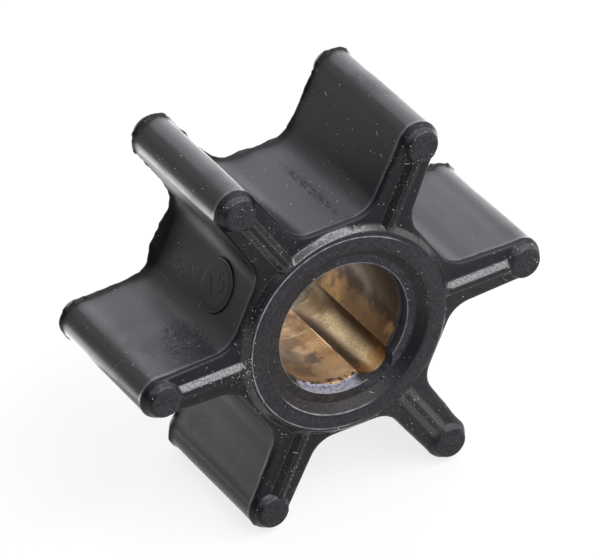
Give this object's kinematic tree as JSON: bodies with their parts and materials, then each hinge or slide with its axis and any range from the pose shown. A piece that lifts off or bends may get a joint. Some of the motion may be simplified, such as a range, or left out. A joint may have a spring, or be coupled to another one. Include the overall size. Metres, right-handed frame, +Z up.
{
  "type": "rubber pump impeller",
  "caption": "Flexible rubber vane impeller with a six-sided hub, thick webs ending in round sealing heads, ribbed end faces, and a keyed bronze bush in its bore.",
  "frame": {"origin": "centre of the bore, half way along the shaft axis", "axes": "Y along the shaft axis with the front face towards -Y, Z up as the impeller lies on two neighbouring vane tips, one vane along +X and one along -X"},
  "size_m": [0.041, 0.0178, 0.036],
  "materials": {
    "rubber": "satin",
    "bronze": "machined and tarnished"
  },
  "bodies": {
    "root": {"rubber_impeller": "rubber", "keyed_bush": "bronze"}
  },
  "joints": []
}
